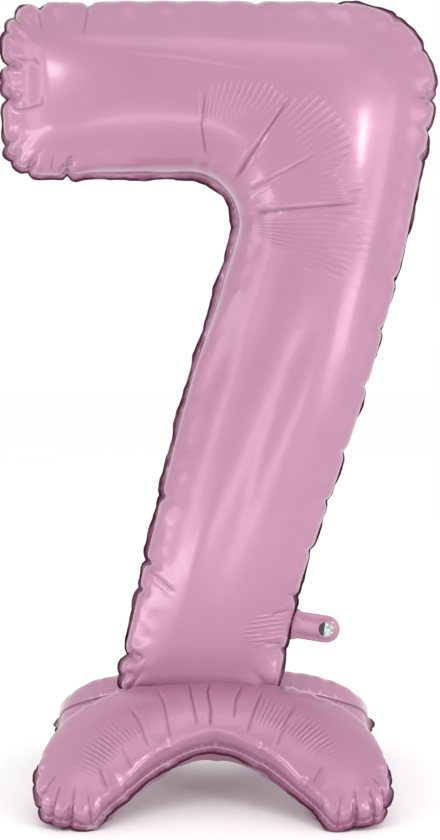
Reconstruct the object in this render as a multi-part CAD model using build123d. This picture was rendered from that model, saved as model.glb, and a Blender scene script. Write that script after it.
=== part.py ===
"""Foil number balloon, digit seven, standing on two inflated arch-shaped feet.

Every inflated chamber is two film shells welded round a flat seal edge. Millimetres, +Z up, +X right,
front towards -Y. The origin is on the floor under the middle of the balloon.
"""
import math
import os

from build123d import *

# ---- Driving dimensions ----
TOTAL_HEIGHT = 740.0
FILM = 0.7                  # film thickness of the shells
SEAL_WIDTH = 8.0            # flat welded edge outside every seam

NUMBER_WIDTH = 408.0        # over the seal edge, left end of the bar to the right-hand corner
BAR_WIDTH = 152.0           # seam to seam
NUMBER_DEPTH = 70.0         # half thickness of the bar and the stem
BAR_END_CORNER = 34.0       # corner radius of the bar's left end
BAR_END_ROUNDING = 78.0     # length over which the bar's left end swells to full thickness
INNER_CORNER = 47.0         # seam radius in the corner under the bar
CORNER_STEPS = 15           # sections round the corner
CORNER_SWELL = 5.0          # extra half thickness in the corner
STEM_SLOPE = 16.4           # degrees from vertical
BASE_SEAM_HEIGHT = 98.0     # bottom seam of the number, just above the feet's fold lines
BASE_ROUNDING = 64.0        # height over which the bottom of the stem swells to full thickness

FOOT_LEAN = 54.0            # degrees from vertical
FOOT_CENTRE_X = -6.0
FOOT_DEPTH = 27.0           # half thickness of a foot
LEG_ROUNDING = 0.3          # share of each leg over which it swells to full thickness
FLOOR_TRIM = 0.6            # film flattened by the floor

HINGE_GAP = 0.3             # clearance round each fold line
WELD_TAB_WIDTH = 150.0      # straight stretch of each foot that is welded to the number

NECK_WIDTH = 26.0
NECK_LENGTH = 43.0
NECK_DROP = 9.0             # degrees below horizontal
NECK_FILM = 0.6
FILL_HOLE_RADIUS = 7.25
FILL_HOLE_FROM_ROOT = 30.0
NECK_SHARE = 0.855          # how far down the stem's right-hand seam the neck leaves it
NECK_FOLD_LEAN = 13.6       # the fold line's angle from vertical, as the seam's there

VALVE_WIDTH = 17.0
VALVE_PLY = 0.25
VALVE_IN_NECK = 21.0        # length of the valve inside the neck
VALVE_TAIL = 46.0           # length of the valve inside the number
VALVE_SLACK = 0.08          # clearance between the valve and the films round it
VALVE_FOLD_GAP = 2.2        # the valve's tail stops this far short of the neck's fold line

# ---- Derived dimensions ----
HALF_BAR = BAR_WIDTH / 2
BAR_TOP = TOTAL_HEIGHT - SEAL_WIDTH
BAR_MIDDLE = BAR_TOP - HALF_BAR
END_SLICE = 0.6             # the first section, just inside the bar's end seam
BAR_LEFT = -NUMBER_WIDTH / 2 + SEAL_WIDTH - END_SLICE
BAR_RIGHT = NUMBER_WIDTH / 2 - SEAL_WIDTH
CORNER = Vector(-28, BAR_TOP - BAR_WIDTH - INNER_CORNER)
STEM_RIGHT_TOP = Vector(167, BAR_TOP - 228)
FOLD_OFFSET = FILM + HINGE_GAP + FILM      # from the middle plane to a foot's fold line

FRONT_PLANE = Plane(origin=(0, 0, 0), x_dir=(1, 0, 0), z_dir=(0, -1, 0))


def direction(angle):
    """Unit vector in the flat pattern, angle in degrees from +X."""
    return Vector(math.cos(math.radians(angle)), math.sin(math.radians(angle)))


# ---- Flat patterns: a station is (inner seam point, outer seam point, half thickness) ----
def bar_stations():
    """The bar, from its rounded left end, which swells quickly from the end seam."""
    stations = []
    for along in (END_SLICE, 3, 7, 13, 21, 31, 44, 60, 78, 110, 140):
        corner = max(0.0, BAR_END_CORNER - along)
        half = HALF_BAR - BAR_END_CORNER + math.sqrt(BAR_END_CORNER**2 - corner**2)
        rise = max(0.0, 1 - along / BAR_END_ROUNDING)
        x = BAR_LEFT + along
        swell = NUMBER_DEPTH * math.sqrt(1 - rise**2)
        stations.append((Vector(x, BAR_MIDDLE - half), Vector(x, BAR_MIDDLE + half), swell))
    return stations


def corner_stations():
    """Sections that fan round the inner corner, from the bar to the stem."""
    outer_seam = Spline(
        (CORNER.X, BAR_TOP),
        (70, BAR_TOP),
        (134, BAR_TOP - 5),
        (180, BAR_TOP - 30),
        (BAR_RIGHT, BAR_TOP - 86),
        STEM_RIGHT_TOP,
        tangents=((1, 0), direction(-90 - STEM_SLOPE)),
    )
    stations = []
    for step in range(CORNER_STEPS):
        share = step / CORNER_STEPS
        inner = CORNER + INNER_CORNER * direction(90 - share * (90 + STEM_SLOPE))
        swell = NUMBER_DEPTH + CORNER_SWELL * math.sin(math.pi * share)
        stations.append((inner, outer_seam @ share, swell))
    return stations


def stem_seams():
    """The seams down the left-hand and the right-hand side of the stem."""
    down = direction(-90 - STEM_SLOPE)
    left_start = CORNER + INNER_CORNER * direction(-STEM_SLOPE)
    left = Spline(left_start, (-29, 370), (-67, 218), (-95, BASE_SEAM_HEIGHT), tangents=(down, (-0.1, -1)))
    right = Spline(STEM_RIGHT_TOP, (128, 361), (76, 206), (51, BASE_SEAM_HEIGHT), tangents=(down, (-0.15, -1)))
    return left, right


def stem_stations():
    """Sections down the stem, which closes like a wedge on the bottom seam."""
    left_seam, right_seam = stem_seams()
    stations = []
    for share in (0, 0.12, 0.25, 0.4, 0.55, 0.68, 0.78, 0.85, 0.9, 0.94, 0.97, 0.985, 0.997):
        inner = left_seam @ share
        outer = right_seam @ share
        above = (inner.Y + outer.Y) / 2 - BASE_SEAM_HEIGHT
        swell = NUMBER_DEPTH * math.sin(math.pi / 2 * min(1.0, above / BASE_ROUNDING))
        stations.append((inner, outer, swell))
    return stations


def number_stations():
    return bar_stations() + corner_stations() + stem_stations()


def foot_stations():
    """An arch with splayed legs: x across, y up its slope from the fold line at y = 0."""
    inner_seam = Spline((0, -72), (44, -92), (88, -133), (110, -157), tangents=((1, 0), (0.66, -0.75)))
    outer_seam = Spline((0, -8), (70, -13), (138, -60), (149, -121), tangents=((1, 0), (-0.2, -1)))
    half_arch = []
    for share in (0.14, 0.28, 0.42, 0.55, 0.66, 0.75, 0.83, 0.9, 0.95, 0.98, 0.995):
        inner = inner_seam @ share
        outer = outer_seam @ share
        rise = max(0.0, 1 - (1 - share) / LEG_ROUNDING)
        half_arch.append((inner, outer, FOOT_DEPTH * math.sqrt(1 - rise**2)))
    mirrored = [
        (Vector(-inner.X, inner.Y), Vector(-outer.X, outer.Y), swell)
        for inner, outer, swell in reversed(half_arch)
    ]
    crown = [(Vector(0, -72), Vector(0, -8), FOOT_DEPTH)]
    return mirrored + crown + half_arch


def drawn_in(stations, inset):
    """The same chamber's inner surface: every section smaller, and the closing ends moved in too."""
    fullest = max(swell for _, _, swell in stations)
    inside = []
    for index, (inner, outer, swell) in enumerate(stations):
        across = (outer - inner).normalized()
        forward = across.cross(Vector(0, 0, 1))
        shift = Vector(0, 0, 0)
        if swell < 0.9 * fullest:
            shift = forward * (inset if index < len(stations) / 2 else -inset)
        inside.append((inner + across * inset + shift, outer - across * inset + shift, swell - inset))
    return [station for station in inside if station[2] > inset / 2]


# ---- Film shells ----
def section(station, skirt):
    """Half-ellipse across the chamber, standing on the seam plane, with a skirt below it."""
    inner, outer, swell = station
    across = (outer - inner).normalized()
    half = (outer - inner).length / 2
    plane = Plane(origin=(inner + outer) / 2, x_dir=across, z_dir=across.cross(Vector(0, 0, 1)))
    crown = EllipticalCenterArc((0, 0), half, swell, arc_size=180)
    base = Polyline((-half, 0), (-half, -skirt), (half, -skirt), (half, 0))
    return plane * make_face([crown, base])


def chamber(stations, skirt):
    """Closed solid of half an inflated chamber."""
    return loft([section(station, skirt) for station in stations], ruled=True)


def seal_plate(stations, thickness):
    """The whole flat pattern out to the edge of the seal, as a thin plate on the seam plane."""
    inner_edge = [station[0] for station in stations]
    outer_edge = [station[1] for station in reversed(stations)]
    pattern = make_face(Polyline(*inner_edge, *outer_edge, close=True))
    return extrude(offset(pattern, amount=SEAL_WIDTH), amount=thickness)


def film_shell(stations, thickness, tab=None):
    """One film of a chamber with its half of the seal edge, bulging towards +Z."""
    outer = chamber(stations, thickness / 2) + seal_plate(stations, thickness)
    if tab:
        outer += tab
    inner = chamber(drawn_in(stations, thickness), 2.0)
    below = Pos(0, 0, -5) * Box(900, 1800, 10)
    return outer - inner - below


# ---- The number ----
def number_film():
    """The front film, in the flat pattern's frame, with a shallow throat that the valve passes through."""
    shell = film_shell(number_stations(), FILM)
    return shell - throat(VALVE_PLY + VALVE_SLACK)


# ---- The neck, in the flat pattern's frame ----
def neck_root():
    """The middle of the neck's fold line, just outside the number's seal edge."""
    right_seam = stem_seams()[1]
    return right_seam @ NECK_SHARE + (SEAL_WIDTH + 2 * HINGE_GAP + NECK_FILM) * direction(-NECK_FOLD_LEAN)


def neck_point(along, aside=0.0):
    """A point measured along the neck from its fold line, and up across it."""
    return neck_root() + along * direction(-NECK_DROP) + aside * direction(90 - NECK_DROP)


def strip(start, end, width, thickness):
    """A flat strip along the neck's line, standing on the seam plane."""
    middle = neck_point((start + end) / 2)
    box = Box(end - start, width, thickness, align=(Align.CENTER, Align.CENTER, Align.MIN))
    return Pos(middle.X, middle.Y, 0) * Rot(0, 0, -NECK_DROP) * box


def throat(depth):
    """The slot that the valve runs through, from inside the number to the middle of the neck."""
    return strip(-VALVE_TAIL, VALVE_IN_NECK + 1, VALVE_WIDTH + 4 * VALVE_SLACK, depth)


def fold_rod(radius, length):
    """A rod along the neck's fold line."""
    root = neck_root()
    return Pos(root.X, root.Y, 0) * Rot(0, 0, -NECK_FOLD_LEAN) * Rot(90, 0, 0) * Cylinder(radius, length)


def neck_film():
    """One film of the neck: a tab with a round end and a rounded root, with the valve's pocket."""
    half = NECK_WIDTH / 2
    up_fold = direction(90 - NECK_FOLD_LEAN)
    end = NECK_LENGTH - half
    outline = [
        Line(neck_root() - half * up_fold, neck_root() + half * up_fold),
        Line(neck_root() + half * up_fold, neck_point(end, half)),
        ThreePointArc(neck_point(end, half), neck_point(NECK_LENGTH), neck_point(end, -half)),
        Line(neck_point(end, -half), neck_root() - half * up_fold),
    ]
    film = extrude(make_face(outline), amount=NECK_FILM)
    above = Pos(0, 0, 5) * Box(900, 1800, 10)
    film += fold_rod(NECK_FILM, NECK_WIDTH) & above
    return film - throat(VALVE_PLY + VALVE_SLACK)


def fill_hole():
    centre = neck_point(FILL_HOLE_FROM_ROOT)
    return Pos(centre.X, centre.Y, 0) * Cylinder(FILL_HOLE_RADIUS, 4 * NECK_FILM)


def valve_neck_ply():
    """The valve's outer stretch, from the fold line to its mouth."""
    return strip(0, VALVE_IN_NECK, VALVE_WIDTH, VALVE_PLY)


def valve_tail_ply():
    """The valve's inner stretch, which lies flat inside the number."""
    return strip(-VALVE_TAIL + VALVE_SLACK, -VALVE_FOLD_GAP, VALVE_WIDTH, VALVE_PLY)


# ---- The feet ----
def foot_film():
    """A foot's film with the straight tab that is welded to the number, rounded along the fold line."""
    depth = 12.0
    tab = Pos(0, -depth / 2, FILM / 2) * Box(WELD_TAB_WIDTH, depth, FILM)
    above = Pos(0, 0, 5) * Box(900, 1800, 10)
    rounded_edge = Rot(0, 90, 0) * Cylinder(FILM, WELD_TAB_WIDTH) & above
    return film_shell(foot_stations(), FILM, tab + rounded_edge)


def foot_plane(side, height):
    """A foot's own frame at its fold line: side -1 is the front foot, +1 the rear one."""
    lean = math.radians(FOOT_LEAN)
    return Plane(
        origin=(FOOT_CENTRE_X, side * FOLD_OFFSET, height),
        x_dir=(-side, 0, 0),
        z_dir=(0, side * math.cos(lean), math.sin(lean)),
    )


def rest_height(outer, inner):
    """Height of the fold lines when the feet press FLOOR_TRIM into the floor."""
    at_zero = foot_plane(-1, 0).location
    lowest = min((at_zero * film).bounding_box().min.Z for film in (outer, inner))
    return -lowest - FLOOR_TRIM


def flattened(film):
    """Film pressed flat where it meets the floor."""
    return film - Pos(0, 0, -10) * Box(900, 900, 20)


# ---- Assembly ----
def mirrored(film):
    """The matching film on the other side of the seam plane."""
    return mirror(film, about=Plane.XY)


def main():
    os.makedirs("parts", exist_ok=True)
    front = FRONT_PLANE.location
    pieces = {
        "number_front_film": front * number_film(),
        "number_back_film": front * mirrored(number_film()),
        "neck_front_film": front * (neck_film() - fill_hole()),
        "neck_back_film": front * mirrored(neck_film()),
        "valve_neck_front_ply": front * valve_neck_ply(),
        "valve_neck_back_ply": front * mirrored(valve_neck_ply()),
        "valve_tail_front_ply": front * valve_tail_ply(),
        "valve_tail_back_ply": front * mirrored(valve_tail_ply()),
    }
    outer = foot_film()
    inner = mirrored(outer)
    height = rest_height(outer, inner)
    for side, name in ((-1, "front"), (1, "rear")):
        place = foot_plane(side, height).location
        pieces[f"{name}_foot_outer_film"] = flattened(place * outer)
        pieces[f"{name}_foot_inner_film"] = flattened(place * inner)
    for name, piece in pieces.items():
        export_step(piece, f"parts/{name}.step")
    root = neck_root()
    hole = neck_point(FILL_HOLE_FROM_ROOT)
    print(f"foot fold lines: y = +-{FOLD_OFFSET:.2f}, z = {height:.3f}")
    print(f"neck fold line through x = {root.X:.3f}, z = {root.Y:.3f}, {NECK_FOLD_LEAN} degrees from vertical")
    print(f"filling hole: x = {hole.X:.3f}, z = {hole.Y:.3f}")


if __name__ == "__main__":
    main()
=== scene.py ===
"""Foil number balloon on two inflated feet: its visible films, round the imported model."""
import math

import bpy
import numpy as np
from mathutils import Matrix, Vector
from mathutils.geometry import delaunay_2d_cdt
from mathutils.kdtree import KDTree


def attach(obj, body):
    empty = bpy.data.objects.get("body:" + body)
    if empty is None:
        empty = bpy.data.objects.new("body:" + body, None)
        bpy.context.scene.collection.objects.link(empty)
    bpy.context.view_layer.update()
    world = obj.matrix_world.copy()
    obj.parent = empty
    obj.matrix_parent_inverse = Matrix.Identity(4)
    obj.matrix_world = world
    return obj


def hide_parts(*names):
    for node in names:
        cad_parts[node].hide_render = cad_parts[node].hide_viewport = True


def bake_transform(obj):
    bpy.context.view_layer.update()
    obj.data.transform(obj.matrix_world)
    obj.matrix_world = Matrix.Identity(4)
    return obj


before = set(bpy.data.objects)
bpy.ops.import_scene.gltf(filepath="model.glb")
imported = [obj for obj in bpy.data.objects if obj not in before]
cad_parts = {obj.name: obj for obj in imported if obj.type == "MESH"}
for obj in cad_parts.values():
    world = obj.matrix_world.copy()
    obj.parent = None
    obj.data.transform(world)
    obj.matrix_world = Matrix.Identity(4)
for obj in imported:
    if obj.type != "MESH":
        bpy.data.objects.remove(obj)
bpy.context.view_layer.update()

MM = 0.001
SEAL = 8 * MM
ROUNDNESS = 0.70  # an inflated tube's half-depth as a share of the flat film's half-width
FILM = 0.3 * MM  # between the front and back plies of the seal edge
# A pinch of strength 1 on a seam of the number's size, in millimetres.
PINCH_DRAW = 4.2  # how far it draws the seam in
PINCH_WIDTH = 3.2  # how far that reaches along the seam
PINCH_INWARD = 12  # and into the film
PINCH_FOLD = 0.24  # the share by which it flattens the film inside
PRESSURE = 60  # of the Cloth simulation that blows the bags up
STIFFNESS = 1500
FRAMES = 50

# The number's seam, as part.py has it: x, z and corner radius in millimetres.
NUMBER_SEAM = [
    (-196, 732, 34), (-196, 580, 34), (33, 580, 47), (-29, 370, 0), (-67, 218, 0), (-95, 98, 12),
    (51, 98, 12), (76, 206, 0), (128, 361, 0), (167, 504, 0), (213, 732, 78),
]
# The same corners on the flat film before it is blown up: larger, with a wider notch.
NUMBER_OPENING = 14.0  # degrees that the bar swings down as the notch's edge puckers
NUMBER_NOTCH = (-23, 560, 90)
NUMBER_CUT = dict(left=-235, top=750, right=220, end_round=75, head_round=80)
STEM_CUT = [
    (-50, 366, 0), (-72, 205, 0), (-92, 78, 26), (72, 78, 26), (107, 206, 0), (149, 357, 0), (188, 506, 0),
]
NUMBER_DEPTH = 75 * MM
NUMBER_STEP = 8 * MM
NUMBER_TAKEOVER = (14 * MM, 52 * MM)  # in from the seam, from the simulated film to the smooth tube
NOTCH = (-28, 533)  # the middle of the round corner under the bar, in millimetres
# Where the number's edge is pinched in: x, z in millimetres and how strongly.
NUMBER_PINCHES = [
    (-120, 732, 0.7), (-166, 732, 1.0), (-189, 722, 0.9), (-196, 708, 0.7), (-192, 684, 1.2),
    (-198, 661, 0.4), (-194, 643, 1.2), (-193, 609, 0.8), (-191, 595, 0.6), (-178, 578, 0.8),
    (-151, 578, 1.0), (168, 726, 0.5), (194, 697, 0.5), (203, 662, 0.5), (198, 644, 1.1),
    (197, 619, 0.5), (191, 597, 0.5), (169, 476, 0.4), (156, 438, 0.4), (142, 382, 0.5),
    (124, 322, 0.4), (106, 270, 0.5), (92, 225, 0.4), (-64, 278, 0.5), (-75, 220, 0.8),
    (-82, 190, 0.5), (-92, 135, 1.2), (-98, 112, 0.7), (77, 186, 0.5), (65, 132, 0.5),
    (30, 732, 0.3), (110, 732, 0.3),
]
# Long creases: a path in millimetres and its depth. The first list is on the number's front film only.
NUMBER_FRONT_CREASES = [
    ([(-12, 590), (-16, 618), (-12, 650)], 1.0), ([(12, 568), (66, 648)], 1.2),
    ([(24, 558), (89, 594)], 0.6), ([(26, 541), (87, 546), (130, 550)], 1.0),
    ([(-86, 139), (-70, 128)], 0.9), ([(-67, 213), (-40, 193)], 0.6),
    ([(66, 174), (47, 172)], 0.8), ([(62, 142), (38, 145)], 0.6),
]
NUMBER_CREASES = [
    ([(-190, 682), (-168, 679), (-160, 672)], 0.6),
    ([(-190, 640), (-181, 636), (-161, 639), (-157, 650)], 0.7),
    ([(-164, 722), (-160, 704)], 0.5), ([(-119, 729), (-122, 698)], 0.6),
    ([(-154, 582), (-151, 594)], 0.7), ([(196, 645), (186, 640)], 0.8),
    ([(-86, 681), (-30, 675), (41, 662)], -0.35),
]
# Shallow valleys: a path, depth and width in millimetres.
NUMBER_DENTS = [
    ([(84, 480), (76, 435), (38, 328), (9, 230), (-4, 176)], 3.2, 12),
    ([(-178, 630), (-176, 655), (-178, 680)], 1.5, 12),
]

# A foot's seam in its own plane: millimetres across, and up the slope from its fold line.
FOOT_INNER = [(0, -72), (44, -91), (85, -131), (107, -159)]
FOOT_OUTER = [(0, -7), (70, -12), (141, -55), (156, -112), (146, -150)]
FOOT_PINCHES = [
    (154, -98, 0.4), (156, -117, 0.7), (151, -137, 0.8), (142, -152, 1.0), (126, -156, 1.0),
    (109, -158, 0.8), (96, -146, 0.3), (80, -125, 0.2),
]
FOOT_CREASES = [
    ([(-57, -92), (-68, -62), (-80, -44)], 0.6), ([(-38, -82), (-45, -44), (-53, -22)], 0.8),
    ([(-14, -68), (-20, -34), (-23, -14)], 1.0), ([(-3, -69), (-2, -50), (-5, -30), (-2, -11)], 1.2),
    ([(19, -60), (21, -38), (29, -18)], 0.9), ([(30, -76), (40, -44), (47, -24)], 0.8),
    ([(56, -92), (67, -62), (77, -42)], 0.6), ([(-93, -132), (-101, -112)], 0.7),
    ([(-123, -156), (-121, -134)], 0.9), ([(-140, -152), (-133, -130)], 0.9),
    ([(-106, -158), (-109, -139)], 0.8), ([(-150, -137), (-137, -120)], 0.7),
    ([(126, -158), (124, -136)], 0.9), ([(143, -154), (136, -132)], 0.9),
    ([(109, -160), (112, -141)], 0.8), ([(153, -139), (140, -122)], 0.7),
    ([(88, -128), (97, -112)], 0.6), ([(-72, -112), (-82, -92)], 0.5),
]
FOOT_ARCH = -166  # the arch's middle, that the ripples fan out from, up the slope in millimetres
FOOT_GROWTH = 13 * MM  # the flat foot's margin over the blown one
FOOT_DEPTH = 27 * MM
FOOT_STEP = 6 * MM
FOOT_TAKEOVER = (6 * MM, 26 * MM)
FOOT_LEAN = math.radians(54)
FOOT_CENTRE = -6 * MM
FOOT_FOLD = 96.637 * MM  # height of the feet's fold lines
FOOT_WELD = 1.7 * MM  # from the seam plane to each fold line
LOWEST = 0.3 * MM  # where film lies on the floor

NECK_ROOT = np.array([71.580, 155.994]) * MM
NECK_DROP = math.radians(9)
NECK_FOLD_LEAN = math.radians(13.6)
NECK_WIDTH = 26 * MM
NECK_LENGTH = 43 * MM
HOLE_ALONG = 30 * MM
HOLE_RADIUS = 7.25 * MM
VALVE_WIDTH = 17 * MM


# ---- Meshes ----
def new_piece(name, points, faces):
    """A mesh object, in the scene."""
    mesh = bpy.data.meshes.new(name)
    mesh.from_pydata(points, [], faces)
    piece = bpy.data.objects.new(name, mesh)
    bpy.context.scene.collection.objects.link(piece)
    return piece


def read(data, key, width):
    """A row of width values for each vertex, or for each point of an attribute."""
    values = np.zeros(len(data) * width)
    data.foreach_get(key, values)
    return values.reshape(-1, width)


def mesh_points(mesh):
    return read(mesh.vertices, "co", 3)


def attribute_values(mesh, name):
    return read(mesh.attributes[name].data, "value", 1)[:, 0]


def attribute(mesh, name, values):
    """Gives a mesh one value at each point, which the material reads."""
    layer = mesh.attributes.new(name, "FLOAT", "POINT")
    layer.data.foreach_set("value", np.asarray(values, np.float32))


def moved_to(piece, points):
    """Puts a piece's vertices at these points."""
    piece.data.vertices.foreach_set("co", points.ravel())
    piece.data.update()


# ---- Outlines in the plane of the seam ----
def fillet(before, corner, after, radius):
    """The arc's middle, radius, first angle and sweep at one rounded corner."""
    u = before - corner
    v = after - corner
    u = u / np.linalg.norm(u)
    v = v / np.linalg.norm(v)
    half = math.acos(float(np.clip(u @ v, -1, 1))) / 2
    middle = corner + (u + v) / np.linalg.norm(u + v) * radius / math.sin(half)
    first = corner + u * radius / math.tan(half) - middle
    last = corner + v * radius / math.tan(half) - middle
    start = math.atan2(first[1], first[0])
    sweep = (math.atan2(last[1], last[0]) - start + math.pi) % math.tau - math.pi
    return middle, radius, start, sweep


def corner_points(corners, index, count):
    """The stations along one corner: one point if it is sharp."""
    corner = np.array(corners[index][:2], float) * MM
    radius = corners[index][2] * MM
    if radius == 0:
        return [corner]
    before = np.array(corners[index - 1][:2], float) * MM
    after = np.array(corners[(index + 1) % len(corners)][:2], float) * MM
    middle, radius, start, sweep = fillet(before, corner, after, radius)
    angles = start + sweep * np.arange(count + 1) / count
    return [middle + radius * np.array([math.cos(a), math.sin(a)]) for a in angles]


def matched_outlines(flat, blown, step):
    """Two closed outlines with the same corners, station for station; the flat one has even steps."""
    arcs = []
    for index, corner in enumerate(flat):
        rough = corner_points(flat, index, 8)
        length = sum(np.linalg.norm(b - a) for a, b in zip(rough, rough[1:]))
        arcs.append(max(1, round(length / step)))
    loops = [[], []]
    for index in range(len(flat)):
        here = [corner_points(c, index, arcs[index]) for c in (flat, blown)]
        most = max(len(h) for h in here)
        here = [h if len(h) == most else h * most for h in here]
        following = (index + 1) % len(flat)
        ahead = [corner_points(c, following, arcs[following])[0] for c in (flat, blown)]
        count = max(1, round(np.linalg.norm(ahead[0] - here[0][-1]) / step))
        for loop, points, end in zip(loops, here, ahead):
            loop.extend(points)
            loop.extend(points[-1] + (end - points[-1]) * k / count for k in range(1, count))
    return np.array(loops[0]), np.array(loops[1])


def along_loop(loop):
    """Metres along a closed loop to each of its points, and last to its start again."""
    steps = np.linalg.norm(np.roll(loop, -1, 0) - loop, axis=1)
    return np.concatenate([[0], np.cumsum(steps)])


def resampled(loop, step):
    """A closed loop with even steps."""
    along = along_loop(loop)
    closed = np.vstack([loop, loop[:1]])
    at = np.linspace(0, along[-1], max(8, round(along[-1] / step)), endpoint=False)
    return np.stack([np.interp(at, along, closed[:, k]) for k in range(2)], axis=1)


def way_in(loop):
    """The direction into an anticlockwise loop at each of its points."""
    tangent = np.roll(loop, -1, 0) - np.roll(loop, 1, 0)
    tangent /= np.linalg.norm(tangent, axis=1)[:, None]
    return np.stack([-tangent[:, 1], tangent[:, 0]], 1)


def grown(loop, distance):
    """Each point of an anticlockwise loop moved outwards."""
    return loop - way_in(loop) * distance


def smoothed(loop, reach):
    """A closed loop averaged over a few stations each way."""
    return sum(np.roll(loop, k, 0) for k in range(-reach, reach + 1)) / (2 * reach + 1)


def enclosed(points, loop):
    """Which points lie inside a closed loop."""
    x, y = points.T
    found = np.zeros(len(points), bool)
    for (x0, y0), (x1, y1) in zip(loop, np.roll(loop, -1, 0)):
        if y0 == y1:
            continue
        found ^= ((y0 > y) != (y1 > y)) & (x < (x1 - x0) * (y - y0) / (y1 - y0) + x0)
    return found


def nearest_on(points, loop):
    """For each point: the number of the nearest point of a dense loop, and its distance."""
    tree = KDTree(len(loop))
    for index, (x, y) in enumerate(loop):
        tree.insert((x, y, 0), index)
    tree.balance()
    found = np.array([tree.find((x, y, 0))[1:] for x, y in points])
    return found[:, 0].astype(int), found[:, 1]


def distance_to(points, loop, spacing):
    """Each point's distance to a closed loop, measured to stations this far apart."""
    return nearest_on(points, resampled(loop, spacing))[1]


def thin_plate(source, target):
    """The smoothest map of the plane that takes each source point to its target."""
    def kernel(a, b):
        squared = ((a[:, None] - b[None]) ** 2).sum(2)
        return squared * np.log(np.maximum(squared, 1e-12))

    n = len(source)
    system = np.zeros((n + 3, n + 3))
    system[:n, :n] = kernel(source, source)
    system[:n, n] = 1
    system[:n, n + 1:] = source
    system[n:, :n] = system[:n, n:].T
    right = np.vstack([target, np.zeros((3, 2))])
    weights = np.linalg.solve(system, right)
    return lambda points: kernel(points, source) @ weights[:n] + weights[n] + points @ weights[n + 1:]


# ---- Flat film to inflated film ----
def triangular_grid(outline, step):
    """The points of an even triangular grid that lie inside an outline."""
    low, high = outline.min(0), outline.max(0)
    row = step * math.sqrt(3) / 2
    grid = np.array([
        (low[0] + (i + 0.5 * (j % 2)) * step, low[1] + j * row)
        for j in range(int((high[1] - low[1]) / row) + 2)
        for i in range(int((high[0] - low[0]) / step) + 2)
    ])
    return grid[enclosed(grid, outline)]


def joined_up(loops, extra, edges, within, tolerance):
    """Delaunay triangles of loops and extra points, anticlockwise, whose middles lie within an outline:
    points, triangles, and for each point the number of the one that it came from, or -1."""
    points = [Vector(p) for p in np.vstack(loops + [extra])]
    out, _, faces, origins, _, _ = delaunay_2d_cdt(points, edges, [], 1, tolerance, True)
    out = np.array([tuple(p) for p in out])
    triangles = np.array([f for f in faces if len(f) == 3])
    triangles = triangles[enclosed(out[triangles].mean(1), within)]
    a, b, c = (out[triangles[:, k]] for k in range(3))
    turn = (b[:, 0] - a[:, 0]) * (c[:, 1] - a[:, 1]) - (b[:, 1] - a[:, 1]) * (c[:, 0] - a[:, 0])
    triangles[turn < 0] = triangles[turn < 0][:, ::-1]
    return out, triangles, np.array([o[0] if o else -1 for o in origins])


def triangulated(seam, step, flange):
    """A flat sheet with its seam and flange: points, triangles, and 0 inside, 1 on the seam, 2 outside it."""
    rows = max(1, round(flange / step))
    loops = [grown(seam, flange * k / rows) for k in range(rows + 1)]
    rings = [grown(seam, -step * share) for share in (0.45, 1.1, 1.9)]
    grid = triangular_grid(seam, step)
    grid = grid[distance_to(grid, seam, step / 2) > 2.5 * step]
    n = len(seam)
    edges = [(k * n + i, k * n + (i + 1) % n) for k in (0, rows) for i in range(n)]
    out, triangles, origins = joined_up(loops + rings, grid, edges, loops[-1], 1e-6)
    kinds = np.array([1] * n + [2] * n * rows + [0] * (n * len(rings) + len(grid)))
    return out, triangles, np.where(origins < 0, 2, kinds[origins])


def flat_bag(name, seam, step):
    """A closed flat bag, front film towards -Y, with one ply of flange: object, faces by part, kinds."""
    flat, triangles, kinds = triangulated(seam, step, SEAL)
    inner = kinds == 0
    centres = flat[triangles].mean(1)
    on_flange = (kinds[triangles] == 2).any(1) | ((kinds[triangles] == 1).all(1) & ~enclosed(centres, seam))
    depth = np.zeros(len(flat))
    depth[inner] = 0.02 * distance_to(flat[inner], seam, step / 2)
    back_of = np.arange(len(flat))
    back_of[inner] = len(flat) + np.arange(inner.sum())
    front = [(x, -d, z) for (x, z), d in zip(flat, depth)]
    back = [(x, d, z) for (x, z), d in zip(flat[inner], depth[inner])]
    chamber = triangles[~on_flange]
    parts = [chamber, back_of[chamber][:, ::-1], triangles[on_flange]]
    bag = new_piece(name, front + back, np.vstack(parts).tolist())
    kinds = np.concatenate([kinds, np.zeros(inner.sum(), int)])
    group = bag.vertex_groups.new(name="blown")
    group.add([int(i) for i in np.where(kinds < 2)[0]], 1.0, "REPLACE")
    return bag, parts, kinds, flat


def blown_up(bag):
    """The bag's points after Blender's Cloth has inflated it."""
    cloth = bag.modifiers.new("Cloth", "CLOTH")
    settings = cloth.settings
    settings.quality = 5
    settings.mass = 0.1
    settings.air_damping = 3
    for way in ("tension", "compression", "shear"):
        setattr(settings, way + "_stiffness", STIFFNESS)
        setattr(settings, way + "_damping", 5)
    settings.bending_stiffness = 0.05
    settings.bending_damping = 0.5
    settings.use_pressure = True
    settings.uniform_pressure_force = PRESSURE
    settings.vertex_group_pressure = "blown"
    settings.effector_weights.gravity = 0
    cloth.collision_settings.use_collision = False
    cloth.collision_settings.use_self_collision = False
    cloth.point_cache.frame_start = 1
    cloth.point_cache.frame_end = FRAMES
    scene = bpy.context.scene
    scene.frame_start = 1
    scene.frame_end = FRAMES
    for number in range(1, FRAMES + 1):
        scene.frame_set(number)
    points = mesh_points(bag.evaluated_get(bpy.context.evaluated_depsgraph_get()).data)
    bpy.data.objects.remove(bag)
    scene.frame_set(1)
    return points


def sides(triangles):
    """The three sides of each triangle."""
    return np.vstack([triangles[:, [0, 1]], triangles[:, [1, 2]], triangles[:, [2, 0]]])


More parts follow.
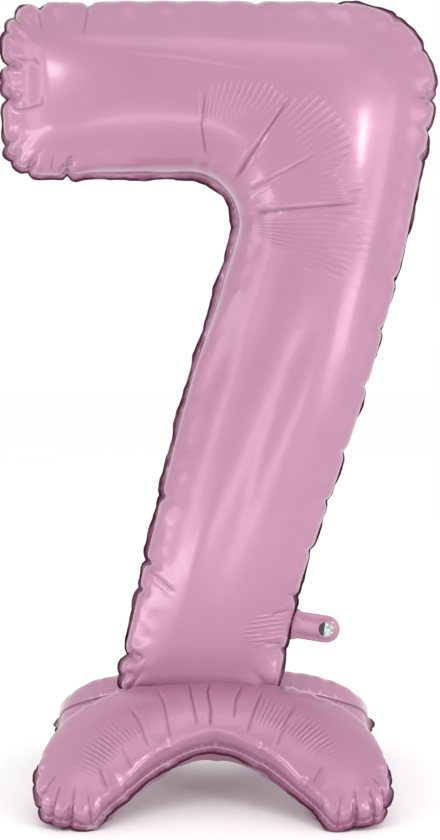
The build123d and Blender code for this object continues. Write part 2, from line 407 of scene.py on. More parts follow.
def domed(triangles, kinds, step):
    """The half-depth of the round tube that fits at each flat point: the root of twice the height of a soap
    film over the outline, which conjugate gradients solve."""
    inner = kinds == 0
    edges = np.unique(np.sort(sides(triangles), axis=1), axis=0)
    size = len(kinds)
    degree = np.bincount(edges.ravel(), minlength=size)

    def spread(u):
        from_one = np.bincount(edges[:, 0], u[edges[:, 1]], size)
        from_other = np.bincount(edges[:, 1], u[edges[:, 0]], size)
        return np.where(inner, degree * u - from_one - from_other, 0)

    height = np.zeros(size)
    rest = np.where(inner, 1.5 * step**2, 0)
    way = rest.copy()
    power = rest @ rest
    for _ in range(400):
        moved = spread(way)
        pace = power / (way @ moved)
        height += pace * way
        rest -= pace * moved
        fresh = rest @ rest
        if fresh < 1e-18:
            break
        way = rest + fresh / power * way
        power = fresh
    return np.sqrt(2 * np.maximum(height, 0))


def rounded_off(value, limit):
    """Value, levelling off smoothly below a limit."""
    return value / (1 + (value / limit) ** 6) ** (1 / 6)


def simulated(bag, seam, target, step, depth):
    """The bag blown up by Cloth, then eased onto its CAD outline and depth."""
    points = blown_up(bag)
    reach = max(1, round(20 * MM / step))
    every = slice(0, len(seam), max(1, round(24 * MM / step)))
    source = smoothed(points[:len(seam)][:, [0, 2]], reach)
    warp = thin_plate(source[every], smoothed(target, reach)[every])
    points[:, [0, 2]] = warp(points[:, [0, 2]])
    points[:, 1] *= depth / np.percentile(np.abs(points[:, 1]), 99.5)
    return points


def smooth_tube(flat, triangles, kinds, seam, target, step, depth, soften):
    """The same bag as a smooth round tube, and how far each of its points is from the seam."""
    often = slice(0, len(seam), max(1, round(14 * MM / step)))
    plan = thin_plate(seam[often], target[often])(flat)
    inner = kinds == 0
    inward = np.zeros(len(flat))
    inward[inner] = distance_to(flat[inner], seam, step / 2)
    tube = rounded_off(domed(triangles, kinds, step) * ROUNDNESS, 1.09 * depth)
    weight = 0.8 * eased(inward, 0.12 * depth, 0.6 * depth)
    tube = relaxed(tube[:, None], triangles, weight, soften)[:, 0]
    across = np.concatenate([-tube, tube[inner]])
    plan = np.vstack([plan, plan[inner]])
    return np.stack([plan[:, 0], across, plan[:, 1]], 1), np.concatenate([inward, inward[inner]])


def inflated(name, seam, target, step, depth, takeover, calm, soften):
    """A bag blown up by Cloth; away from the seam a smooth tube takes over from the simulation.
    takeover is the pair of distances from the seam for that, and calm gives the simulation's weight.
    Gives the points, faces by part, kinds, and the layers that the films carry."""
    bag, parts, kinds, flat = flat_bag(name, seam, step)
    points = simulated(bag, seam, target, step, depth)
    smooth, inward = smooth_tube(flat, parts[0], kinds[:len(flat)], seam, target, step, depth, soften)
    weight = (1 - eased(inward, *takeover)) * calm(smooth[:, [0, 2]])
    inner = kinds[:len(flat)] == 0
    places = (np.concatenate([v, v[inner]]) for v in seam_place(flat, seam, target))
    return smooth + (points - smooth) * weight[:, None], parts, kinds, seam_layers(*places, target)


def number_flat_corners():
    """The flat number's corners: its bar is turned up about the notch by NUMBER_OPENING."""
    x0, z0, notch_round = NUMBER_NOTCH
    turn = math.radians(NUMBER_OPENING)

    def turned(x, z):
        dx = x - x0
        dz = z - z0
        return x0 + dx * math.cos(turn) + dz * math.sin(turn), z0 - dx * math.sin(turn) + dz * math.cos(turn)

    top = turned(NUMBER_CUT["left"], NUMBER_CUT["top"])
    end = turned(NUMBER_CUT["left"], z0)
    head = top[1] - (NUMBER_CUT["right"] - top[0]) * math.tan(turn)
    first = [(*top, NUMBER_CUT["end_round"]), (*end, NUMBER_CUT["end_round"]), (x0, z0, notch_round)]
    return first + STEM_CUT + [(NUMBER_CUT["right"], head, NUMBER_CUT["head_round"])]


def curve_through(points, count):
    """Catmull-Rom stations through a few points."""
    points = np.array(points, float)
    padded = np.vstack([2 * points[0] - points[1], points, 2 * points[-1] - points[-2]])
    stations = []
    for at in np.linspace(0, len(points) - 1, count):
        k = min(int(at), len(points) - 2)
        t = at - k
        a, b, c, d = padded[k:k + 4]
        stations.append(0.5 * (2 * b + (c - a) * t + (2 * a - 5 * b + 4 * c - d) * t**2
                               + (3 * b - a - 3 * c + d) * t**3))
    return np.array(stations)


def foot_outline(step):
    """A foot's seam in its own plane, anticlockwise, in metres."""
    mirror = np.array([-1, 1])
    half_inner = [np.array(p, float) for p in FOOT_INNER]
    half_outer = [np.array(p, float) for p in FOOT_OUTER]
    inner = [p * mirror for p in half_inner[:0:-1]] + half_inner
    outer = half_outer[::-1] + [p * mirror for p in half_outer[1:]]
    loop = np.vstack([curve_through(inner, 80), curve_through(outer, 80)])
    return resampled(loop * MM, step)


# ---- Surface detail ----
def vertex_normals(points, faces):
    """Area-weighted normals."""
    a, b, c = (points[faces[:, k]] for k in range(3))
    turns = np.cross(b - a, c - a)
    normals = np.zeros_like(points)
    for k in range(3):
        np.add.at(normals, faces[:, k], turns)
    return normals / np.maximum(np.linalg.norm(normals, axis=1), 1e-12)[:, None]


def relaxed(points, faces, weight, rounds):
    """Points eased towards their neighbours' average, by a weight for each."""
    edges = np.vstack([sides(faces), sides(faces)[:, ::-1]])
    count = np.maximum(np.bincount(edges[:, 0], minlength=len(points)), 1)[:, None]
    for _ in range(rounds):
        total = np.zeros_like(points)
        np.add.at(total, edges[:, 0], points[edges[:, 1]])
        points = points + (total / count - points) * weight[:, None]
    return points


def eased(value, low, high):
    """0 below low, 1 above high, and smooth between."""
    t = np.clip((value - low) / (high - low), 0, 1)
    return t * t * (3 - 2 * t)


def band(value, low, high, late, end):
    """Rises from 0 to 1 between low and high, and falls again between late and end."""
    return eased(value, low, high) * (1 - eased(value, late, end))


def bell(value):
    """1 at 0, falling smoothly to nearly nothing at 2 on either side."""
    return np.exp(-(value ** 2))


def along_path(points, path):
    """Signed distance from each point to a path in the plane, and its place from 0 to 1 along it."""
    path = np.array(path, float)
    lengths = np.linalg.norm(np.diff(path, axis=0), axis=1)
    total = lengths.sum()
    best = np.full(len(points), 1e9)
    signed = np.full(len(points), 1e9)
    place = np.zeros(len(points))
    done = 0.0
    for a, b, length in zip(path, path[1:], lengths):
        way = (b - a) / length
        offset = points - a
        t = np.clip(offset @ way, 0, length)
        gap = offset - t[:, None] * way
        size = np.linalg.norm(gap, axis=1)
        side = np.sign(way[0] * offset[:, 1] - way[1] * offset[:, 0])
        near = size < best
        best = np.where(near, size, best)
        signed = np.where(near, size * side, signed)
        place = np.where(near, (done + t) / total, place)
        done += length
    return signed, place


def crease_field(plan, paths, reach=7 * MM):
    """For each point: signed distance to its nearest crease, and that crease's strength there."""
    nearest = np.full(len(plan), reach)
    strength = np.zeros(len(plan))
    for path, depth in paths:
        signed, place = along_path(plan, np.array(path) * MM)
        close = np.abs(signed) < np.abs(nearest)
        fade = band(place, 0, 0.12, 0.72, 1.0)
        nearest = np.where(close, signed, nearest)
        strength = np.where(close, depth * fade, strength)
    strength *= 1 - eased(np.abs(nearest), 0.55 * reach, reach)
    return nearest, strength


def film(name, points, faces, kinds, layers):
    """One film as a mesh of these faces, with its seam kept crisp and a few values at each point."""
    used = np.unique(faces)
    renumbered = np.full(len(points), -1)
    renumbered[used] = np.arange(len(used))
    piece = new_piece(name, points[used].tolist(), renumbered[faces].tolist())
    mesh = piece.data
    for layer, values in layers.items():
        attribute(mesh, layer, values[used])
    seam = kinds[used] == 1
    crease = mesh.attributes.new("crease_edge", "FLOAT", "EDGE")
    sharp = [float(seam[e.vertices[0]] and seam[e.vertices[1]]) for e in mesh.edges]
    crease.data.foreach_set("value", sharp)
    return piece


def made_plain(piece):
    """The piece with its modifiers' result as smooth-shaded plain mesh data."""
    fresh = bpy.data.meshes.new_from_object(piece.evaluated_get(bpy.context.evaluated_depsgraph_get()))
    piece.modifiers.clear()
    old = piece.data
    piece.data = fresh
    bpy.data.meshes.remove(old)
    fresh.name = piece.name
    for polygon in fresh.polygons:
        polygon.use_smooth = True
    return piece


def subdivided(piece, levels):
    """The piece after Catmull-Clark."""
    modifier = piece.modifiers.new("Subdivision", "SUBSURF")
    modifier.levels = levels
    modifier.render_levels = levels
    return made_plain(piece)


def seam_place(flat, seam, target):
    """For each flat point: metres along the CAD seam, and metres in from the seam (minus on the flange)."""
    shares = np.array([0, 0.25, 0.5, 0.75])
    dense = np.vstack([seam + (np.roll(seam, -1, 0) - seam) * share for share in shares])
    along = along_loop(target)
    arcs = (along[:-1] + np.diff(along) * shares[:, None]).ravel()
    index, distance = nearest_on(flat, dense)
    return arcs[index], distance * np.where(enclosed(flat, seam), 1, -1)


def seam_layers(arc, inward, target):
    """The values each film carries. The place along the seam is kept as a turn, which closes on itself."""
    turn = math.tau * arc / along_loop(target)[-1]
    rim = np.clip(-inward / SEAL, 0, 1)
    return {"arc_cos": np.cos(turn), "arc_sin": np.sin(turn), "inward": inward, "rim": rim}


def gap_to(x, z, arc, target):
    """Metres along the CAD seam from its nearest point to (x, z), in millimetres, to each place."""
    along = along_loop(target)
    at = along[np.argmin(np.linalg.norm(target - np.array([x, z]) * MM, axis=1))]
    total = along[-1]
    return (arc - at + total / 2) % total - total / 2


def on_seam(values, arc, target):
    """Pairs of values that the CAD seam's points have, at these places along it."""
    along = along_loop(target)
    return np.stack([np.interp(arc, along[:-1], values[:, k], period=along[-1]) for k in range(2)], 1)


def plumped(points, inward, way, gaps, swelling, width):
    """The film bulges past its seam, less so at a pinch, and the flange keeps a share of its width."""
    held = np.zeros(len(points))
    for gap, strength in gaps:
        held = np.maximum(held, min(strength, 1) * bell(gap / (4.5 * MM)))
    reach = np.maximum(inward, 0) / (5 * MM)
    bulge = swelling * reach * np.exp(1 - reach) * (1 - 0.8 * held)
    slip = np.maximum(-inward, 0) * (1 - width)
    moved = points.copy()
    moved[:, [0, 2]] += way * (slip - bulge)[:, None]
    return moved


def pinched(points, inward, way, gaps, scale):
    """Each pinch draws the seam in, and flattens the film just inside it; the seam swells out beside it."""
    size = MM * scale
    moved = points.copy()
    for gap, strength in gaps:
        sharp = np.exp(-np.abs(gap / (PINCH_WIDTH * size)) ** 1.5)
        swell = 0.22 * (1 - bell(gap / (9 * MM))) * bell(gap / (16 * MM))
        draw = strength * PINCH_DRAW * size * (sharp - swell) * (1 - eased(inward, 0, PINCH_INWARD * size))
        moved[:, [0, 2]] += way * draw[:, None]
        length = (8 + 14 * strength) * size
        wide = bell(gap / (2.4 * size + 0.10 * np.maximum(inward, 0)))
        rise = np.clip(inward / (6 * size), 0, 1) * (1 - eased(inward, 0.3 * length, length))
        moved[:, 1] *= 1 - np.clip(strength * PINCH_FOLD * wide * rise, 0, 0.8)
    return moved


def wobble(turn, total, periods, rng):
    """Smooth seeded unevenness round a closed seam, in which every wave closes on itself."""
    return sum(np.sin(round(total / p) * turn + rng.uniform(0, math.tau)) * p / periods[0] for p in periods)


def fluttered(points, turn, total, inward, way, seed, amount):
    """The flange's free edge waves to and fro across the seam plane, and is ragged in it."""
    rng = np.random.default_rng(seed)
    free = np.clip(-inward / SEAL, 0, 1)
    moved = points.copy()
    moved[:, 1] += amount * wobble(turn, total, (0.047, 0.029, 0.019), rng) * free
    ragged = wobble(turn, total, (0.061, 0.034, 0.017, 0.011), rng) * 0.8 * amount
    moved[:, [0, 2]] += way * (ragged * free)[:, None]
    return moved


def film_pair(names, points, parts, kinds, layers):
    """The two films of an inflated bag, each with its own ply of the flange; the first is the finer mesh."""
    front, back, flange = parts
    normals = vertex_normals(points, np.vstack([front, flange]))
    offset = np.zeros((len(points), 1))
    offset[kinds >= 1] = FILM / 2
    films = []
    for name, faces, side in zip(names, (front, back), (1, -1)):
        ply = flange if side > 0 else flange[:, ::-1]
        placed = points + side * normals * offset
        piece = film(name, placed, np.vstack([faces, ply]), kinds, layers)
        films.append(subdivided(piece, 2 if side > 0 else 1))
    return films


def dented(points, normals, plan, dents):
    """Long shallow valleys: a path, depth and width in millimetres each."""
    for path, depth, width in dents:
        signed, place = along_path(plan, np.array(path) * MM)
        fade = band(place, 0, 0.25, 0.75, 1.0)
        valley = fade * bell(signed / (width * MM))
        points = points - normals * (depth * MM * valley)[:, None]
    return points


def creased(piece, plan, paths, ripple, depth, dents=()):
    """Presses dents and long creases into a film; plan gives each point's place in the film's own plane."""
    mesh = piece.data
    normals = read(mesh.vertices, "normal", 3)
    points = dented(mesh_points(mesh), normals, plan, dents)
    nearest, strength = crease_field(plan, paths)
    valley = bell(nearest / (2 * MM))
    banks = bell((np.abs(nearest) - 4.5 * MM) / (2 * MM))
    points -= normals * (strength * (valley - 0.3 * banks) * depth)[:, None]
    phase, mask = ripple(plan)
    layers = {"crease": nearest / MM, "crease_on": strength, "ripple": phase, "ripple_on": mask}
    for layer, values in layers.items():
        attribute(mesh, layer, values)
    moved_to(piece, points)


# ---- The number ----
def number_calm(plan):
    """The simulation's weight: less round the notch, where the photograph shows smooth film."""
    x, z = plan.T / MM
    clear = eased(np.hypot(x - NOTCH[0], z - NOTCH[1]), 70, 170)
    bar_end = 0.55 + 0.45 * eased(x, -190, -130)
    return (0.12 + 0.28 * clear * eased(z, 110, 170)) * bar_end


def number_swelling(at):
    """How far film bulges past the seam at these seam points, and the share of the flange that shows."""
    x, z = at.T / MM
    bottom = 1 - eased(z, 99, 106)
    notch = band(x, -140, -110, 40, 60) * band(z, 400, 460, 581, 590)
    return (4.5 - 0.5 * bottom - 2.5 * notch) * MM, 1 - 0.8 * bottom


def sagged(points):
    """The number's bottom corners hang down over the feet."""
    x, _, z = points.T / MM
    aside = np.clip(np.abs(x + 22) / 73, 0, 1)
    moved = points.copy()
    moved[:, 2] -= 7 * MM * aside**2 * (1 - eased(z, 98, 150))
    return moved


def number_ripple(plan):
    """Fine ripples that fan out from the notch: phase in turns, and where they show."""
    x, z = plan.T / MM
    radius = np.hypot(x - NOTCH[0], z - NOTCH[1])
    angle = np.arctan2(z - NOTCH[1], x - NOTCH[0])
    crown = 145 - 33 * eased(angle, 0.7, 1.4)
    fan = band(radius - crown, -30, -10, 4, 20) * band(angle, -0.15, 0.1, 1.45, 1.6)
    low = band(radius, 55, 80, 150, 175) * band(angle, -0.42, -0.3, -0.02, 0.04)
    at_neck = 1 - eased(np.hypot((x - 44) / 22, (z - 158) / 17), 0.6, 1.1)
    phase = np.where(at_neck > 0, z / 4.6, angle * 150 / math.tau)
    return phase, np.maximum(np.maximum(fan, 0.8 * low), 0.7 * at_neck)


def build_number():
    """The number's front and back films."""
    seam, target = matched_outlines(number_flat_corners(), NUMBER_SEAM, NUMBER_STEP)
    soften = round(60 * (8 * MM / NUMBER_STEP) ** 2)
    sizes = (NUMBER_STEP, NUMBER_DEPTH, NUMBER_TAKEOVER)
    bag = inflated("number_bag", seam, target, *sizes, number_calm, soften=soften)
    films = film_pair(("number_front", "number_back"), *bag)
    for piece in films:
        finish_edges(piece, NUMBER_PINCHES, target, number_swelling, scale=1.0, seed=7)
        piece.data.vertices.foreach_set("co", sagged(mesh_points(piece.data)).ravel())
        plan = mesh_points(piece.data)[:, [0, 2]]
        front_only = NUMBER_FRONT_CREASES if piece is films[0] else []
        creased(piece, plan, front_only + NUMBER_CREASES, number_ripple, depth=0.85 * MM, dents=NUMBER_DENTS)
    return films


def finish_edges(piece, pinches, target, swelling, scale, seed):
    """Plumpness, pinches and flutter along one film's seam."""
    mesh = piece.data
    total = along_loop(target)[-1]
    turn = np.arctan2(attribute_values(mesh, "arc_sin"), attribute_values(mesh, "arc_cos"))
    arc = turn % math.tau / math.tau * total
    inward = attribute_values(mesh, "inward")
    way = on_seam(smoothed(way_in(target), 2), arc, target)
    swell, width = swelling(on_seam(target, arc, target))
    shown = attribute_values(mesh, "rim") * eased(width, 0.2, 0.9)
    mesh.attributes["rim"].data.foreach_set("value", shown)
    gaps = [(gap_to(x, z, arc, target), strength) for x, z, strength in pinches]
    points = plumped(mesh_points(mesh), inward, way, gaps, swell, width)
    points = pinched(points, inward, way, gaps, scale)
    points = fluttered(points, turn, total, inward * width, way, seed, 1.1 * MM * scale)
    moved_to(piece, points)


number = build_number()


# ---- The feet ----
def foot_calm(plan):
    """Nearly no simulation: at this mesh size it only leaves lumps on a foot."""
    return np.full(len(plan), 0.04)


def foot_swelling(at):
    """The same two values for a foot."""
    x, up = at.T / MM
    upper = eased(up, -100, -75) * eased(np.abs(x) + up, 20, 40)
    upper = np.maximum(upper, eased(up, -60, -40))
    tip = 1 - eased(up, -125, -100)
    return (2.5 - 2.5 * upper + 1.5 * tip) * MM, 1 - 0.96 * upper


def foot_ripple(plan):
    """Fine ripples across the arch, on the crown of the tube towards each leg."""
    x, up = plan.T / MM
    radius = np.hypot(x, up - FOOT_ARCH)
    angle = np.arctan2(x, up - FOOT_ARCH)
    legs = np.maximum(band(-angle, 0.42, 0.55, 1.0, 1.25), band(angle, 0.28, 0.4, 0.85, 1.1))
    return angle * 118 / 4.3, band(radius, 104, 116, 126, 140) * legs


def foot_placed(points, side):
    """Points of a foot's own plane at their place in the frame; side is -1 in front and 1 behind."""
    across = points[:, 0] * -side + FOOT_CENTRE
    down = points[:, 2]
    out = -points[:, 1]
    y = -side * (down * math.sin(FOOT_LEAN) - out * math.cos(FOOT_LEAN) - FOOT_WELD)
    z = FOOT_FOLD + down * math.cos(FOOT_LEAN) + out * math.sin(FOOT_LEAN)
    return np.stack([across, y, np.maximum(z, LOWEST)], 1)


def build_feet():
    """The outer and inner film of the front foot, then of the rear foot."""
    target = foot_outline(FOOT_STEP)
    seam = grown(target, FOOT_GROWTH)
    sizes = (FOOT_STEP, FOOT_DEPTH, FOOT_TAKEOVER)
    bag = inflated("foot_bag", seam, target, *sizes, foot_calm, soften=16)
    pinches = FOOT_PINCHES + [(3 - x, z + 2, strength) for x, z, strength in FOOT_PINCHES]
    films = []
    for name, side in (("front_foot", -1), ("rear_foot", 1)):
        pair = film_pair((name + "_outer", name + "_inner"), *bag)
        for piece in pair:
            finish_edges(piece, pinches, target, foot_swelling, scale=0.62, seed=11 - side)
            plan = mesh_points(piece.data)[:, [0, 2]]
            paths = FOOT_CREASES if piece is pair[0] else FOOT_CREASES[::2]
            creased(piece, plan, paths, foot_ripple, depth=0.5 * MM)
            moved_to(piece, foot_placed(mesh_points(piece.data), side))
        films += pair
    return films


feet = build_feet()


# ---- Materials ----
PINK = (0.424, 0.193, 0.304, 1)
DEEP_PINK = (0.392, 0.172, 0.278, 1)
# Painted shade on the seal flange: a darker plum pink.
SEAL_SHADE_PINK = (0.29, 0.115, 0.20, 1)
SEAL_SILVER = (0.50, 0.42, 0.46, 1)
# Painted shade: a nearly black plum along the seal's free edge.
SEAL_EDGE_SHADE = (0.07, 0.014, 0.036, 1)
# Painted shade in the long creases.
CREASE_SHADE = (0.20, 0.05, 0.12, 1)
SILVER = (0.62, 0.66, 0.64, 1)
SILVER_SHADE = (0.30, 0.33, 0.31, 1)
COATING = (0.012, 0.012, 0.014, 1)
COATING_LIGHT = (0.03, 0.03, 0.034, 1)


class Nodes:
    """Small helper that wires one material's node tree."""

    def __init__(self, name):
        self.material = bpy.data.materials.new(name)
        self.material.use_nodes = True
        self.tree = self.material.node_tree
        self.shader = self.tree.nodes["Principled BSDF"]

    def put(self, value, socket):
        """Feeds a socket with a plain value, or with another node's output."""
        if isinstance(value, bpy.types.NodeSocket):
            self.tree.links.new(value, socket)
        else:
            socket.default_value = value

    def shade(self, **inputs):
        """Feeds the shader; an underscore stands for a space."""
        for key, value in inputs.items():
            self.put(value, self.shader.inputs[key.replace("_", " ")])

    def add(self, kind, inputs, **settings):
        node = self.tree.nodes.new(kind)
        for key, value in settings.items():
            setattr(node, key, value)
        for key, value in inputs.items():
            self.put(value, node.inputs[key])
        return node.outputs

    def math(self, operation, a, b=0.0):
        return self.add("ShaderNodeMath", {0: a, 1: b}, operation=operation)[0]

    def times(self, a, b):
        return self.math("MULTIPLY", a, b)

    def noise(self, scale, detail=3.0, roughness=0.5):
        place = self.add("ShaderNodeTexCoord", {})["Object"]
        inputs = {"Vector": place, "Scale": scale, "Detail": detail, "Roughness": roughness}
        return self.add("ShaderNodeTexNoise", inputs)["Fac"]

    def attribute(self, name):
        return self.add("ShaderNodeAttribute", {}, attribute_name=name)["Fac"]

    def mix(self, factor, a, b):
        return self.add("ShaderNodeMix", {0: factor, 6: a, 7: b}, data_type="RGBA")[2]

    def ramp(self, factor, low, high, out_low=0.0, out_high=1.0):
        inputs = dict(enumerate((factor, low, high, out_low, out_high)))
        return self.add("ShaderNodeMapRange", inputs, interpolation_type="SMOOTHSTEP")[0]

    def bumped(self, height, strength, distance):
        inputs = {"Strength": strength, "Distance": distance, "Height": height}
        self.shade(Normal=self.add("ShaderNodeBump", inputs)["Normal"])


def foil_creases(n):
    """A narrow line along each long crease, from 0 to 1; it masks the painted crease shade as well as the
    crease bump.
    """
    across = n.math("DIVIDE", n.attribute("crease"), 1.1)
    line = n.math("EXPONENT", n.times(n.times(across, across), -1.0))
    return n.times(line, n.attribute("crease_on"))


def foil_tone(n, rim, groove):
    """Pearly pink with random darker patches; painted shade in plum on the seal flange, silvery patches on
    it, and a nearly black painted shade line along its free edge; painted shade darkens the creases.
    """
    tone = n.mix(n.ramp(n.noise(6.0, 2.0), 0.35, 0.65), PINK, DEEP_PINK)
    patches = n.ramp(n.noise(24.0, 2.0), 0.60, 0.68, 0.0, 0.75)
    silver = n.times(n.ramp(rim, 0.05, 0.3), patches)
    # Painted shade: the seal flange darkens towards plum.
    tone = n.mix(n.ramp(rim, 0.0, 0.4, 0.0, 0.8), tone, SEAL_SHADE_PINK)
    tone = n.mix(silver, tone, SEAL_SILVER)
    broken = n.ramp(n.noise(31.0, 2.0), 0.36, 0.48, 0.45, 1.0)
    # Painted shade: a broken, nearly black line along the seal's free edge.
    edge = n.times(n.ramp(rim, 0.45, 0.8), broken)
    tone = n.mix(edge, tone, SEAL_EDGE_SHADE)
    # Painted shade: darker plum along the creases.
    return n.mix(n.times(groove, 0.75), tone, CREASE_SHADE)


def foil_height(n, rim, groove):
    """Ripples in broken fans, crumple, mostly on the seal edge, and the creases."""
    wave = n.math("SINE", n.times(n.attribute("ripple"), math.tau))
    wave = n.math("POWER", n.math("ADD", n.times(wave, 0.5), 0.5), 2.5)
    wave = n.math("ADD", n.times(wave, 2.2), n.noise(60.0, 2.0))
    broken = n.ramp(n.noise(30.0, 2.0), 0.34, 0.54, 0.0, 0.75)
    wave = n.times(wave, n.times(n.attribute("ripple_on"), broken))
    crumple = n.times(n.noise(150.0, 3.0, 0.65), n.ramp(rim, 0.0, 0.3, 0.035, 0.55))
    soft = n.times(n.noise(18.0, 2.0), 0.9)
    smooth = n.math("SUBTRACT", soft, n.times(groove, 0.9))
    return n.math("ADD", n.math("ADD", wave, crumple), smooth)


def pink_foil():
    """Satin metallised film."""
    n = Nodes("pink_foil")
    rim = n.attribute("rim")
    groove = foil_creases(n)
    n.shade(
        Base_Color=foil_tone(n, rim, groove),
        Metallic=n.ramp(rim, 0.3, 0.8, 0.32, 0.10),
        Roughness=n.ramp(n.noise(70.0, 4.0, 0.6), 0.3, 0.7, 0.33, 0.41),
        Coat_Weight=n.ramp(rim, 0.3, 0.7, 0.85, 0.0),
        Specular_IOR_Level=n.ramp(rim, 0.3, 0.8, 0.5, 0.12),
        Coat_Roughness=0.16,
    )
    n.bumped(foil_height(n, rim, groove), 0.6, 1.0 * MM)
    return n.material


foil = pink_foil()


def dress(piece):
    """Material and slot, and the CAD node that a film stands for, which is hidden."""
    piece.data.materials.append(foil)
    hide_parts(piece.name + "_film")


def hang_foot(piece):
    """A foot's film, with its placement baked into its points; it is not attached to a body."""
    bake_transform(piece)


for piece in number + feet:
    dress(piece)
for piece in number:
    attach(piece, "number")
for piece in feet[:2]:
    hang_foot(piece)
for piece in feet[2:]:
    hang_foot(piece)


# ---- The inflation neck and its valve ----
def neck_point(along, aside):
    """A place measured along the neck from its fold line, and up across it, in the seam plane."""
    way = np.array([math.cos(NECK_DROP), -math.sin(NECK_DROP)])
    return NECK_ROOT + along * way + aside * np.array([-way[1], way[0]])


HOLE = neck_point(HOLE_ALONG, 0)


def neck_outline(step):
    """The neck's outline: fold line, round end and a flared root, anticlockwise."""
    half = NECK_WIDTH / 2
    fold = np.array([math.sin(NECK_FOLD_LEAN), math.cos(NECK_FOLD_LEAN)])
    end = NECK_LENGTH - half
    under_seam = np.array([-9, 0]) * MM
    flare = half * 1.16 * fold
    low = NECK_ROOT - flare
    high = NECK_ROOT + flare
    points = [high + under_seam, low + under_seam, low]
    points += [neck_point(5 * MM, -half * 0.99), neck_point(end, -half)]
    for k in range(1, 12):
        turn = math.pi * k / 12 - math.pi / 2
        points.append(neck_point(end + half * math.cos(turn), half * math.sin(turn)))
    points += [neck_point(end, half), neck_point(5 * MM, half * 0.99), high]
    return resampled(np.array(points), step)


def plane_sheet(outline, step, hole=False):
    """A fine flat triangulation of an outline, with or without the filling hole: points, triangles, and each
    point's distance from the outline."""
    loops = [outline]
    if hole:
        turns = np.arange(48) * math.tau / 48
        loops.append(HOLE + HOLE_RADIUS * np.stack([np.cos(turns), np.sin(turns)], 1))
    grid = triangular_grid(outline, step)
    edges = []
    count = 0
    for loop in loops:
        grid = grid[distance_to(grid, loop, step / 3) > 0.6 * step]
        edges += [(count + i, count + (i + 1) % len(loop)) for i in range(len(loop))]
        count += len(loop)
    out, triangles, _ = joined_up(loops, grid, edges, outline, 1e-7)
    if hole:
        away = np.linalg.norm(out[triangles].mean(1) - HOLE, axis=1)
        triangles = triangles[away > HOLE_RADIUS * 0.995]
    return out, triangles, distance_to(out, outline, step / 3)


def waves(points, seed, periods, amount):
    """Smooth seeded unevenness over a plane."""
    rng = np.random.default_rng(seed)
    total = np.zeros(len(points))
    for period in periods:
        for _ in range(3):
            turn = rng.uniform(0, math.tau)
            way = np.array([math.cos(turn), math.sin(turn)])
            total += np.sin(points @ way * math.tau / period + rng.uniform(0, math.tau)) * period / periods[0]
    return amount * total / 3


def sheet_piece(name, plan, lift, triangles, side, thickness, materials):
    """A thin sheet that stands lift away from the seam plane, in front of it for side -1 and behind it for
    side 1; the first material is outside and the second is inside."""
    points = [(x, side * y, z) for (x, z), y in zip(plan, lift)]
    piece = new_piece(name, points, (triangles if side < 0 else triangles[:, ::-1]).tolist())
    mesh = piece.data
    for material in materials:
        mesh.materials.append(material)
    attribute(mesh, "crease", np.full(len(plan), 9.0))
    for layer in ("rim", "crease_on", "ripple", "ripple_on"):
        attribute(mesh, layer, np.zeros(len(plan)))
    solid = piece.modifiers.new("Thickness", "SOLIDIFY")
    solid.thickness = thickness
    solid.offset = -1
    solid.material_offset = 1
    solid.material_offset_rim = 0
    return made_plain(piece)


def silver_film():
    """The bare aluminised inside of the film, finely crumpled."""
    n = Nodes("silver_film")
    crumple = n.noise(420.0, 3.0, 0.6)
    tone = n.mix(n.ramp(crumple, 0.35, 0.65), SILVER_SHADE, SILVER)
    n.shade(Base_Color=tone, Metallic=0.9, Roughness=n.ramp(n.noise(300.0, 2.0), 0.3, 0.7, 0.18, 0.34))
    n.bumped(crumple, 0.8, 0.8 * MM)
    return n.material


def valve_coating():
    """The valve film with its dark release coat, slightly mottled."""
    n = Nodes("valve_coating")
    tone = n.mix(n.ramp(n.noise(200.0, 3.0), 0.4, 0.6), COATING, COATING_LIGHT)
    n.shade(Base_Color=tone, Roughness=n.ramp(n.noise(350.0, 2.0), 0.3, 0.7, 0.35, 0.5), Coat_Weight=0.2)
    return n.material


def build_neck():
    """The neck's two films; the front one has the filling hole, which shows the back one's bare inside."""
    step = 1.3 * MM
    outline = neck_outline(step)
    silver = silver_film()
    for name, side in (("neck_front", -1), ("neck_back", 1)):
        plan, triangles, inward = plane_sheet(outline, step, hole=side < 0)
        puff = 1.5 * MM * eased(inward, 1.5 * MM, 9 * MM)
        puff += waves(plan, 3 + side, (0.021, 0.012, 0.007), 0.22 * MM)
        away = np.linalg.norm(plan - HOLE, axis=1) - HOLE_RADIUS
        puff += 0.5 * MM * bell(away / (2.2 * MM))
        lift = 0.18 * MM + np.maximum(puff, 0) * eased(inward, 0, 3 * MM)
        piece = sheet_piece(name, plan, lift, triangles, side, 0.15 * MM, (foil, silver))
        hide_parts(name + "_film")
        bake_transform(piece)


def build_valve():
    """The valve's four crumpled plies: two in the neck, and two inside the number. Each is a strip between
    two distances from the neck's fold line."""
    step = 1.0 * MM
    coating = valve_coating()
    plies = [
        ("valve_neck_front", -1, 1, 28.2, "inflation_neck"),
        ("valve_neck_back", 1, 0, 21, "inflation_neck"),
        ("valve_tail_front", -1, -46, -2.2, "number"),
        ("valve_tail_back", 1, -46, -2.2, "number"),
    ]
    for name, side, start, end, body in plies:
        corners = [(start, -1), (end, -1), (end, 1), (start, 1)]
        strip = np.array([neck_point(along * MM, aside * VALVE_WIDTH / 2) for along, aside in corners])
        plan, triangles, inward = plane_sheet(resampled(strip, step), step)
        crumple = np.abs(waves(plan, 20 + side, (0.011, 0.006), 0.16 * MM))
        lift = 0.12 * MM + 0.30 * MM * eased(inward, 0, 4 * MM) + crumple * eased(inward, 0, 2 * MM)
        piece = sheet_piece(name, plan, lift, triangles, side, 0.1 * MM, (coating, coating))
        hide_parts(name + "_ply")
        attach(piece, body)


build_neck()
build_valve()


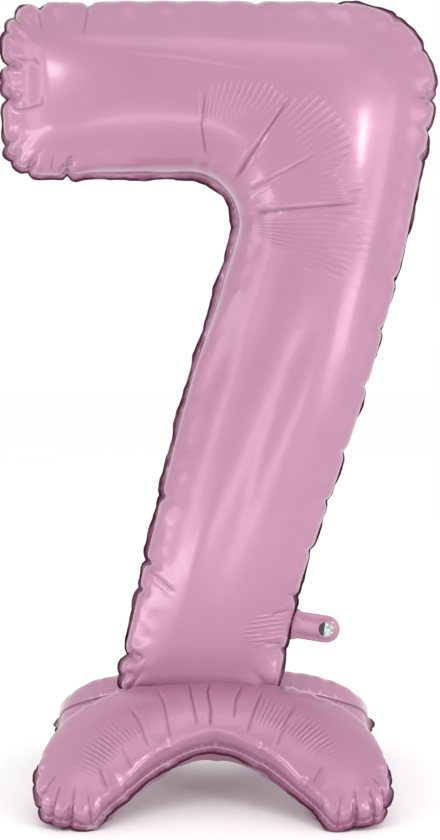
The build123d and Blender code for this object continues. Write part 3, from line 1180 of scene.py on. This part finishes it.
# ---- Floor, lights and camera ----
def aimed(thing, place, target):
    thing.location = place
    thing.rotation_euler = (Vector(target) - Vector(place)).to_track_quat("-Z", "Y").to_euler()
    bpy.context.scene.collection.objects.link(thing)
    return thing


def softbox(name, place, target, width, height, power):
    light = bpy.data.lights.new(name, "AREA")
    light.shape = "RECTANGLE"
    light.size = width
    light.size_y = height
    light.energy = power
    return aimed(bpy.data.objects.new(name, light), place, target)


def studio():
    """Softboxes, each with its place, target, width, height and power, and an even white world."""
    middle = (0, 0, 0.37)
    feet_middle = (0, 0, 0.10)
    softbox("left_key", (-1.25, -1.3, 1.0), (-0.15, 0, 0.65), 0.4, 0.2, 2.6)
    softbox("left_fill", (-1.9, -0.8, 0.8), middle, 0.4, 1.4, 3)
    softbox("right_key", (1.3, -1.5, 1.0), middle, 0.14, 0.5, 5)
    softbox("right_fill", (2.0, -0.9, 0.6), middle, 1.1, 1.4, 6.5)
    softbox("top_fill", (0.1, -0.9, 2.1), middle, 1.4, 0.8, 2.9)
    softbox("low_left", (-1.3, -0.8, 0.09), feet_middle, 0.7, 0.2, 2)
    softbox("low_right", (1.3, -0.8, 0.09), feet_middle, 0.7, 0.2, 1.8)
    softbox("low_front", (0.0, -1.2, 0.06), (0, 0, 0.09), 1.2, 0.15, 1.6)
    world = bpy.data.worlds.new("studio")
    bpy.context.scene.world = world
    world.use_nodes = True
    background = world.node_tree.nodes["Background"]
    background.inputs["Color"].default_value = (1, 1, 1, 1)
    background.inputs["Strength"].default_value = 1.0


def floor():
    half = 6.0
    corners = [(-half, -half, 0), (half, -half, 0), (half, half, 0), (-half, half, 0)]
    piece = new_piece("floor", corners, [(0, 1, 2, 3)])
    n = Nodes("floor")
    tone = n.mix(n.noise(3.0, 2.0), (0.97, 0.97, 0.97, 1), (0.99, 0.99, 0.99, 1))
    n.shade(Base_Color=tone, Roughness=0.85)
    piece.data.materials.append(n.material)


def camera():
    """From the front and a little above the middle, framed as the photograph is."""
    aside = 0.0005
    distance = 1.5
    seen = 0.787  # height of the picture at the seam plane
    sensor = 36.0
    data = bpy.data.cameras.new("camera")
    data.sensor_fit = "VERTICAL"
    data.sensor_height = sensor
    data.lens = sensor / 2 / (seen / 2 / distance)
    view = bpy.data.objects.new("camera", data)
    bpy.context.scene.camera = aimed(view, (aside, -distance, 0.47), (aside, 0, 0.3505))


studio()
floor()
camera()
bpy.context.scene.view_settings.view_transform = "Standard"

bpy.context.view_layer.update()
